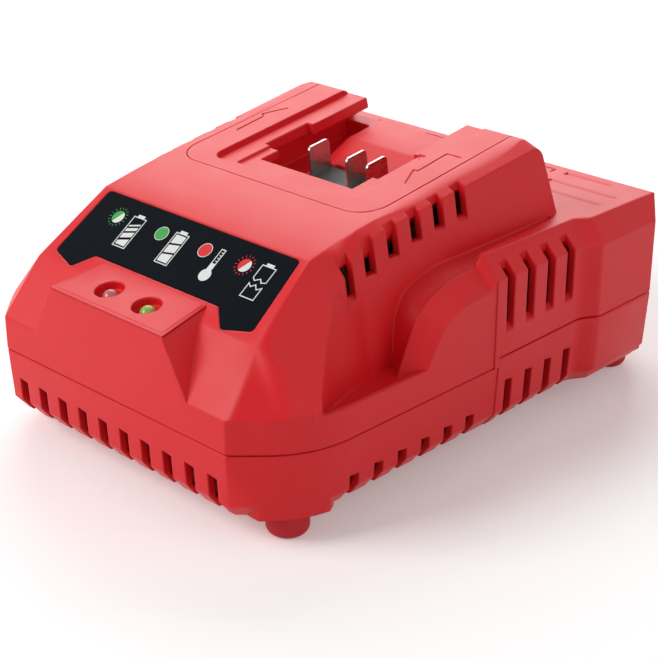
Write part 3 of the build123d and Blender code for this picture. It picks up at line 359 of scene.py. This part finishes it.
def wantedRadius(edge, bend, look):
    # nothing for a fold that is too faint to be an edge there
    ends = [(abs(vert.co.x) / mm, (vert.co.y - cadLow.y) / mm, vert.co.z / mm) for vert in edge.verts]
    for zone in look["zones"] + [look]:
        inside = "from" not in zone or all(low <= value <= high for end in ends
                                           for low, value, high in zip(zone["from"], end, zone["to"]))
        steep = abs(ends[0][2] - ends[1][2]) * mm > roundingLook["level"] * edge.calc_length()
        if inside and not (steep and zone.get("level")):
            return zone["radius"] * mm if bend > math.radians(zone.get("sharp", look["sharp"])) else 0.0


def widestRadius(look):
    return max([look["radius"]] + [zone["radius"] for zone in look["zones"]]) * mm


def weighEdges(mesh, look):
    # each hard edge takes as much of its radius as its faces and corners leave room for
    work = bmesh.new()
    work.from_mesh(mesh)
    layer = work.edges.layers.float.new("bevel_weight_edge")
    share = look["share"]
    bends = {edge: edge.calc_face_angle(0.0) if len(edge.link_faces) == 2 else 0.0
             for edge in work.edges}
    wanted = {edge: wantedRadius(edge, bend, look) for edge, bend in bends.items()}
    wanted = {edge: radius for edge, radius in wanted.items() if radius}
    room = dict(wanted)
    for face in work.faces:
        ring = list(face.edges)
        for edge in ring:
            if edge not in room:
                continue
            a, b = (vert.co for vert in edge.verts)
            for other in ring:
                if set(edge.verts) & set(other.verts):
                    continue
                gap = edgeGap(a, b, *(vert.co for vert in other.verts))
                part = roundingLook["alone"]
                if other in wanted:
                    part = wanted[edge] / (wanted[edge] + wanted[other])
                room[edge] = min(room[edge], gap * share * part)
    for edge in list(room):
        for vert in edge.verts:
            for corner in vert.link_loops:
                if edge in (corner.edge, corner.link_loop_prev.edge):
                    limit = cornerRoom(edge, vert, corner, room, bends)
                    room[edge] = min(room[edge], share * limit / 2)
    widest = widestRadius(look)
    for edge, width in room.items():
        edge[layer] = width / widest if width > look["least"] * mm else 0.0
    work.to_mesh(mesh)
    work.free()


def bevelled(base, name, look):
    piece = bpy.data.objects.new(name, base.copy())
    bpy.context.collection.objects.link(piece)
    only(piece)
    bevel = piece.modifiers.new("roundedEdges", "BEVEL")
    bevel.limit_method = "WEIGHT"
    bevel.width = widestRadius(look)
    bevel.segments = look["segments"]
    bevel.use_clamp_overlap = False
    bevel.miter_outer = "MITER_ARC"
    bpy.ops.object.modifier_apply(modifier=bevel.name)
    return piece


def strayPoints(mesh, moulding, look):
    # points off the moulding, faces turned over and outlines folded back, each with its reach
    rules = roundingLook
    strays = []
    for vert in mesh.vertices:
        off = moulding.find_nearest(vert.co)[3]
        if off > look["stray"] * mm:
            strays.append((vert.co.copy(), rules["strayReach"] * mm + rules["strayGrowth"] * off))
    for face in mesh.polygons:
        if face.area > rules["tiny"] * mm * mm:
            normal = moulding.find_nearest(face.center)[1]
            if face.normal.dot(normal) < rules["over"]:
                strays.append((face.center.copy(), rules["overReach"] * mm))
        ring = [mesh.vertices[i].co for i in face.vertices]
        for back, here, on in zip(ring, ring[1:] + ring[:1], ring[2:] + ring[:2]):
            run, turn = here - back, on - here
            longEnough = min(run.length, turn.length) > rules["foldRun"] * mm
            if longEnough and run.angle(turn) > math.radians(rules["fold"]):
                strays.append((here.copy(), rules["foldReach"] * mm))
    return strays


def lessenNear(strays, base, widest):
    # edges near a stray point take a smaller radius or none; gives how many did
    rules = roundingLook
    weights = base.attributes["bevel_weight_edge"].data
    places = KDTree(len(strays))
    for i, (stray, reach) in enumerate(strays):
        places.insert(stray, i)
    places.balance()
    farthest = max([reach for stray, reach in strays], default=0.0)
    lessened = 0
    for edge in base.edges:
        width = weights[edge.index].value * widest
        if not width:
            continue
        a, b = (base.vertices[i].co for i in edge.vertices)
        near = places.find_range((a + b) / 2, (a - b).length / 2 + farthest + width / 2)
        if any(edgeGap(a, b, stray, stray) < strays[i][1] + width / 2 for stray, i, _ in near):
            less = rules["lessen"] * width / widest
            weights[edge.index].value = less if width > rules["drop"] * mm else 0.0
            lessened += 1
    return lessened


def roundOver(base, name, look):
    # tried again until nothing strays that a smaller radius would mend
    moulding = BVHTree.FromPolygons([vert.co for vert in base.vertices],
                                    [face.vertices[:] for face in base.polygons])
    while True:
        piece = bevelled(base, name, look)
        strays = strayPoints(piece.data, moulding, look)
        lessened = lessenNear(strays, base, widestRadius(look))
        if not lessened:
            return piece
        print(name, len(strays), "points strayed,", lessened, "edges rounded less")
        bpy.data.objects.remove(piece)


def mouldedCopy(node, name, finish, look):
    draft = bpy.data.objects.new(name, nodes[node].data.copy())
    bpy.context.collection.objects.link(draft)
    editing(draft)
    bpy.ops.mesh.remove_doubles(threshold=look["merge"] * mm)
    bpy.ops.mesh.customdata_custom_splitnormals_clear()
    bpy.ops.mesh.dissolve_limited(angle_limit=math.radians(look["flat"]))
    bpy.ops.mesh.tris_convert_to_quads(face_threshold=math.radians(look["pair"]),
                                       shape_threshold=math.radians(look["skew"]))
    doneEditing()
    weighEdges(draft.data, look)
    base = draft.data
    bpy.data.objects.remove(draft)
    piece = roundOver(base, name, look)
    settle(piece, name, finish, smoothAngle=look["smooth"])
    even = piece.modifiers.new("evenNormals", "WEIGHTED_NORMAL")
    even.keep_sharp = True
    bpy.ops.object.modifier_apply(modifier=even.name)
    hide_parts(node)
    print(name, len(piece.data.polygons), "faces")


mouldedCopy("upper_housing", "upperShell", finishes["shell"], shellLook)
mouldedCopy("lower_housing", "lowerShell", finishes["shell"], lowerLook)
mouldedCopy("cradle", "batteryCradle", finishes["cradle"], cradleLook)
mouldedCopy("terminal_block", "terminalBlock", finishes["terminalGrey"], smallLook)
mouldedCopy("label_plate", "labelPlate", finishes["label"], smallLook)
for node in ("blade_positive", "blade_sense", "blade_negative"):
    mouldedCopy(node, node.replace("blade_", "contact"), finishes["nickel"], bladeLook)
for node in ("foot_front_right", "foot_front_left", "foot_rear_right", "foot_rear_left"):
    mouldedCopy(node, node.title().replace("_", "").replace("Foot", "foot"), finishes["foot"],
                footLook)
print("mouldings made")


# millimetres across (u) and up the slope (v)
labelLook = {
    "slope": 34.48,         # degrees
    "length": 27.5,
    "plate": 0.5,
    "ink": 0.03,            # how far the print stands on the plate
    "line": 0.32,
    "dots": {"charging": -29.1, "full": -9.9, "hot": 8.3, "faulty": 24.1},
    "aside": {"charging": 8.1, "full": 7.2, "hot": 5.9, "faulty": 7.9},      # symbol beside its dot
    "dotV": 20.4,
    "halfDotR": 2.15,
    "dotR": 2.4,
    "dotRing": 0.2,
    "halved": 62.0,         # degrees, the line that parts a flashing dot
    "rays": {"from": 0.55, "to": 1.25, "count": 16, "width": 0.2, "turn": 0.13},
}
batteryLook = {
    "half": 2.7,
    "foot": 11.6,
    "head": 22.6,
    "cap": (0.52, 0.85),    # of the width, and its height
    "gap": 0.75,            # between a bar and the outside
    "charging": {"lean": 0.34, "bars": [(12.4, 14.3), (15.2, 16.9), (17.6, 18.7), (19.4, 19.95)]},
    "full": {"lean": 0.2, "bars": [(12.35, 15.1), (15.75, 18.45), (19.1, 21.85)]},
    "brokenHead": [(-2.7, 6.4), (-1.55, 5.5), (0.05, 6.5), (1.0, 5.45), (2.7, 6.05), (2.7, 11.0),
                   (-2.7, 11.0)],
    "brokenFoot": [(-2.7, 0.0), (2.7, 0.0), (2.7, 4.55), (1.15, 3.55), (-0.1, 4.85), (-1.35, 3.85),
                   (-2.7, 4.85)],
}
thermometerLook = {
    "bulbV": 13.5,
    "bulbR": 2.05,
    "stem": 0.95,
    "filledTo": 17.6,
    "head": 22.6,
    "ticks": (18.3, 19.3, 20.3, 21.3),
    "tickWide": (0.05, 0.06),       # past the middle, and short of the wall
    "tickTall": 0.3,
}


def arc(u, v, radius, start=0.0, stop=360.0, steps=32):
    return [
        (u + radius * math.cos(math.radians(start + (stop - start) * i / steps)),
         v + radius * math.sin(math.radians(start + (stop - start) * i / steps)))
        for i in range(steps if stop - start == 360.0 else steps + 1)
    ]


def oblong(u0, v0, u1, v1):
    return [(u0, v0), (u1, v0), (u1, v1), (u0, v1)]


def printed(name, finish, outlines):
    # outlines on the plate, across and up the slope; one inside another leaves a hole
    look = labelLook
    drawing = bpy.data.curves.new(name, "CURVE")
    drawing.dimensions = "2D"
    drawing.fill_mode = "BOTH"
    drawing.extrude = look["ink"] * mm
    for outline in outlines:
        spline = drawing.splines.new("POLY")
        spline.points.add(len(outline) - 1)
        for point, (u, v) in zip(spline.points, outline):
            point.co = (u * mm, v * mm, 0, 1)
        spline.use_cyclic_u = True
    piece = bpy.data.objects.new(name, drawing)
    bpy.context.collection.objects.link(piece)
    only(piece)
    bpy.ops.object.convert(target="MESH")
    piece = bpy.context.object
    low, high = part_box("label_plate")
    tilt = math.radians(look["slope"])
    head = Vector((0, high.y - look["plate"] * mm * math.sin(tilt), high.z))
    up = Vector((0, math.cos(tilt), math.sin(tilt)))
    piece.rotation_euler = (tilt, 0, 0)
    piece.location = head - up * look["length"] * mm
    settle(piece, name, finish)


def inset(outline, width):
    # the same outline moved inwards; it runs anticlockwise
    moved = []
    for i, here in enumerate(outline):
        back, on = Vector(outline[i - 1]), Vector(outline[(i + 1) % len(outline)])
        here = Vector(here)
        before, after = (here - back).normalized(), (on - here).normalized()
        inward = Vector((-before.y, before.x)) + Vector((-after.y, after.x))
        moved.append(tuple(here + inward * width / (1 + before.dot(after))))
    return moved


def batteryCap(u):
    look = batteryLook
    wide, tall = look["cap"]
    return oblong(u - look["half"] * wide, look["head"], u + look["half"] * wide, look["head"] + tall)


def batteryOutline(u):
    look = batteryLook
    body = oblong(u - look["half"], look["foot"], u + look["half"], look["head"])
    return [body, inset(body, labelLook["line"]), batteryCap(u)]


def bar(u, half, low, high, lean, flatFoot=False, flatHead=False):
    # one bar of charge, leaning up to the right unless it lies along the outline
    foot, head = (0 if flatFoot else lean * half), (0 if flatHead else lean * half)
    return [(u - half, low - foot), (u + half, low + foot), (u + half, high + head),
            (u - half, high - head)]


def chargeBars(u, state, toTheTop=False):
    look = batteryLook
    charge = look[state]
    lows = [low for low, high in charge["bars"]]
    return [
        bar(u, look["half"] - look["gap"], low, high, charge["lean"], flatFoot=low == lows[0],
            flatHead=toTheTop and low == lows[-1])
        for low, high in charge["bars"]
    ]


def rays(u, v, radius):
    look = labelLook["rays"]
    found = []
    for i in range(look["count"]):
        turn = 2 * math.pi * i / look["count"] + look["turn"]
        across = Vector((-math.sin(turn), math.cos(turn))) * look["width"] / 2
        out = Vector((math.cos(turn), math.sin(turn)))
        near = Vector((u, v)) + out * (radius + look["from"])
        far = Vector((u, v)) + out * (radius + look["to"])
        found.append([tuple(near - across), tuple(far - across), tuple(far + across),
                      tuple(near + across)])
    return found


def halfDot(state, ink):
    look = labelLook
    u, v, r, split = look["dots"][state], look["dotV"], look["halfDotR"], look["halved"]
    printed(state + "DotShaded", ink, [arc(u, v, r, split, split + 180)] + rays(u, v, r))
    printed(state + "DotPale", finishes["inkWhite"], [arc(u, v, r, split - 180, split)])


def solidDot(state, ink):
    look = labelLook
    u, v, r = look["dots"][state], look["dotV"], look["dotR"]
    inner = arc(u, v, r - look["dotRing"])
    printed(state + "Dot", ink, [inner])
    printed(state + "DotRing", finishes["inkWhite"], [arc(u, v, r), inner])


def symbolPlace(state):
    return labelLook["dots"][state] + labelLook["aside"][state]


def makeBatteries():
    halfDot("charging", finishes["inkGreen"])
    u = symbolPlace("charging")
    printed("chargingBattery", finishes["inkWhite"], batteryOutline(u) + chargeBars(u, "charging"))
    solidDot("full", finishes["inkGreen"])
    u = symbolPlace("full")
    printed("fullBattery", finishes["inkWhite"], batteryOutline(u) + chargeBars(u, "full", toTheTop=True))


def makeThermometer(look):
    solidDot("hot", finishes["inkRed"])
    u, line, stem = symbolPlace("hot"), labelLook["line"], look["stem"]
    opening = math.degrees(math.asin(stem / look["bulbR"]))
    flask = arc(u, look["bulbV"], look["bulbR"], 90 + opening, 450 - opening)
    flask += [(u + stem, look["head"]), (u - stem, look["head"])]
    tube = oblong(u - stem + line, look["filledTo"], u + stem - line, look["head"] - line)
    past, short = look["tickWide"]
    ticks = [oblong(u - past, v, u + stem - line - short, v + look["tickTall"]) for v in look["ticks"]]
    printed("thermometer", finishes["inkWhite"], [flask, tube] + ticks)


def makeBrokenBattery(look):
    halfDot("faulty", finishes["inkRed"])
    u = symbolPlace("faulty")
    parts = [[(u + x, look["foot"] + y) for x, y in outline]
             for outline in (look["brokenHead"], look["brokenFoot"])]
    lines = parts + [inset(outline, labelLook["line"]) for outline in parts]
    printed("brokenBattery", finishes["inkWhite"], lines + [batteryCap(u)])


makeBatteries()
makeThermometer(thermometerLook)
makeBrokenBattery(batteryLook)
print("label printed")


lampLook = {
    "radius": 2.5,
    "flange": 2.95,
    "flangeHeight": 1.0,
    "tilt": 9.4,            # degrees
    "tip": 0.02,
    "merge": 0.004,
    "sides": 40,
    "steps": 8,
}


def domeRings(look, straight):
    # radius and rise of each ring, from the flange to the tip
    radius = look["radius"]
    found = [(look["flange"], look["flangeHeight"]), (radius, 0.0), (radius, straight)]
    last = 0.0
    for i in range(1, look["steps"] + 1):
        turn = math.pi / 2 * i / look["steps"]
        found.append((max(radius * math.cos(turn), look["tip"]), radius * (math.sin(turn) - last)))
        last = math.sin(turn)
    return found


def makeLamp(node, name, finish):
    # the dome is turned from a circle, ring by ring, on the frame's own lamp
    look = lampLook
    low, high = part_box(node)
    tilt = math.radians(look["tilt"])
    flange = look["flange"] * mm
    foot = Vector(((low.x + high.x) / 2, high.y - flange * math.cos(tilt),
                   low.z + flange * math.sin(tilt)))
    straight = (high.z - look["radius"] * mm - foot.z) / math.cos(tilt) / mm - look["flangeHeight"]
    bpy.ops.object.select_all(action="DESELECT")
    bpy.ops.mesh.primitive_circle_add(vertices=look["sides"], radius=flange, fill_type="NGON")
    piece = bpy.context.object
    editing(piece)
    current = look["flange"]
    for radius, rise in domeRings(look, straight):
        bpy.ops.mesh.extrude_region_move(TRANSFORM_OT_translate={"value": (0, 0, rise * mm)})
        bpy.ops.transform.resize(value=(radius / current, radius / current, 1))
        current = radius
    bpy.ops.mesh.select_all(action="SELECT")
    bpy.ops.mesh.remove_doubles(threshold=look["merge"] * mm)
    bpy.ops.mesh.normals_make_consistent(inside=False)
    doneEditing()
    piece.rotation_euler = (tilt, 0, 0)
    piece.location = foot
    settle(piece, name, finish)
    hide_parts(node)


makeLamp("led_left", "lampLeft", finishes["lampRed"])
makeLamp("led_right", "lampRight", finishes["lampGreen"])
print("lamps made")


wears = {
    "nickel": ["inlet_pin_left", "inlet_pin_right"],
    "zinc": ["board_screws", "case_screws"],
    "board": ["lamp_board", "terminal_board", "main_board"],
    "wireRed": ["lead_positive"],
    "wireWhite": ["lead_sense"],
    "wireBlack": ["lead_negative"],
    "black": ["mains_inlet", "transformer_base", "power_transistor", "output_rectifier"],
    "ferrite": ["transformer_core"],
    "tape": ["transformer_winding"],
    "sleeve": ["bulk_capacitor", "output_capacitor_front", "output_capacitor_rear"],
    "film": ["filter_capacitor"],
    "copper": ["choke"],
    "ceramic": ["fuse"],
    "aluminium": ["heatsink_input", "heatsink_output"],
}
for finish, names in wears.items():
    for name in names:
        nodes[name].data.materials.clear()
        nodes[name].data.materials.append(finishes[finish])
print("frame nodes finished")


studio = {
    "floor": 6.0,
    "floorColour": (0.8, 0.8, 0.8, 1),
    "floorRoughness": 0.9,
    "floorGloss": 0.1,
    "seenColour": (1.0, 1.0, 1.0, 1),
    "seenGlow": 0.22,
    "world": 0.24,
    "seenWorld": 1.0,
    "aim": (0, 0, 0.04),    # what the lights point at
    "key": {"place": (-0.55, -0.95, 0.80), "size": 0.7, "power": 10.5},
    "back": {"place": (-0.70, 0.75, 0.78), "size": 1.0, "power": 8.8},
    "side": {"place": (1.10, 0.10, 0.55), "size": 1.2, "power": 3.5},
}


def seenDirectly(tree):
    # one for what the camera, a reflection or a clear piece sees, nought for the light it gives
    rays = tree.nodes.new("ShaderNodeLightPath")
    either = tree.nodes.new("ShaderNodeMath")
    either.operation = "MAXIMUM"
    anyOf = tree.nodes.new("ShaderNodeMath")
    anyOf.operation = "MAXIMUM"
    tree.links.new(rays.outputs["Is Camera Ray"], either.inputs[0])
    tree.links.new(rays.outputs["Is Glossy Ray"], either.inputs[1])
    tree.links.new(either.outputs[0], anyOf.inputs[0])
    tree.links.new(rays.outputs["Is Transmission Ray"], anyOf.inputs[1])
    return anyOf.outputs[0]


def makeFloor(look):
    bpy.ops.object.select_all(action="DESELECT")
    bpy.ops.mesh.primitive_plane_add(size=look["floor"])
    floor = bpy.context.object
    floor.name = "floor"
    finish, tree, shader, coords = shaderTree("floorPale")
    shader.inputs["Base Color"].default_value = look["floorColour"]
    shader.inputs["Roughness"].default_value = look["floorRoughness"]
    shader.inputs["Specular IOR Level"].default_value = look["floorGloss"]
    seen = tree.nodes.new("ShaderNodeBsdfPrincipled")
    seen.inputs["Base Color"].default_value = look["seenColour"]
    seen.inputs["Roughness"].default_value = look["floorRoughness"]
    seen.inputs["Specular IOR Level"].default_value = 0.0
    seen.inputs["Emission Color"].default_value = (1, 1, 1, 1)
    seen.inputs["Emission Strength"].default_value = look["seenGlow"]
    mix = tree.nodes.new("ShaderNodeMixShader")
    tree.links.new(seenDirectly(tree), mix.inputs["Fac"])
    tree.links.new(shader.outputs[0], mix.inputs[1])
    tree.links.new(seen.outputs[0], mix.inputs[2])
    tree.links.new(mix.outputs[0], tree.nodes["Material Output"].inputs["Surface"])
    floor.data.materials.append(finish)


def makeLight(name, look):
    bpy.ops.object.light_add(type="AREA", location=look["place"])
    light = bpy.context.object
    light.name = name
    light.data.size = look["size"]
    light.data.energy = look["power"]
    beam = Vector(studio["aim"]) - light.location
    light.rotation_euler = beam.to_track_quat("-Z", "Y").to_euler()


def makeWorld(look):
    world = bpy.data.worlds.new("studio")
    bpy.context.scene.world = world
    world.use_nodes = True
    tree = world.node_tree
    soft = tree.nodes["Background"]
    soft.inputs["Color"].default_value = (1, 1, 1, 1)
    soft.inputs["Strength"].default_value = look["world"]
    white = tree.nodes.new("ShaderNodeBackground")
    white.inputs["Color"].default_value = (1, 1, 1, 1)
    white.inputs["Strength"].default_value = look["seenWorld"]
    mix = tree.nodes.new("ShaderNodeMixShader")
    tree.links.new(seenDirectly(tree), mix.inputs["Fac"])
    tree.links.new(soft.outputs[0], mix.inputs[1])
    tree.links.new(white.outputs[0], mix.inputs[2])
    tree.links.new(mix.outputs[0], tree.nodes["World Output"].inputs["Surface"])


makeFloor(studio)
makeLight("keyLight", studio["key"])
makeLight("backLight", studio["back"])
makeLight("sideLight", studio["side"])
makeWorld(studio)
bpy.context.scene.view_settings.view_transform = "Standard"
print("studio set")
